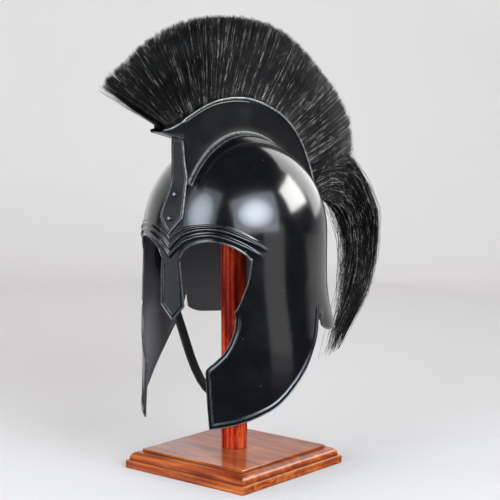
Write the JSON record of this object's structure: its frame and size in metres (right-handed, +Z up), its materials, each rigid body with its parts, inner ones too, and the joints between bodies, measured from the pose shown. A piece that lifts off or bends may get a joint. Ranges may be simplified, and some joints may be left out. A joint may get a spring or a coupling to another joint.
{
  "type": "greek helmet with raised horsehair crest on its wooden stand",
  "caption": "Black Greek style helmet with brow ridges, nose guard, long cheek guards, chin strap and raised hair crest, on a square wooden stand with a post.",
  "frame": {"origin": "middle of the stand's underside, on the surface it stands on", "axes": "+Z up, -Y the way the face looks, +X the wearer's left"},
  "size_m": [0.217, 0.4716, 0.5212],
  "materials": {
    "black_lacquer": "glossy black lacquer over sheet steel, with dust and fine wear",
    "dark_steel": "satin black steel, worn bright on its raised edges and rivet heads",
    "horsehair": "black horsehair with some grey strands, trimmed to an even brush",
    "black_leather": "matt black strap leather",
    "varnished_wood": "red brown stained wood under a gloss varnish"
  },
  "bodies": {
    "root": {"shell": "black_lacquer", "crest_holder": "black_lacquer", "front_strap": "dark_steel", "rivet_upper": "dark_steel", "rivet_lower": "dark_steel", "plume": "horsehair", "chin_strap": "black_leather", "strap_rivet_left": "dark_steel", "strap_rivet_right": "dark_steel", "stand_base": "varnished_wood", "stand_post": "varnished_wood"}
  },
  "joints": []
}
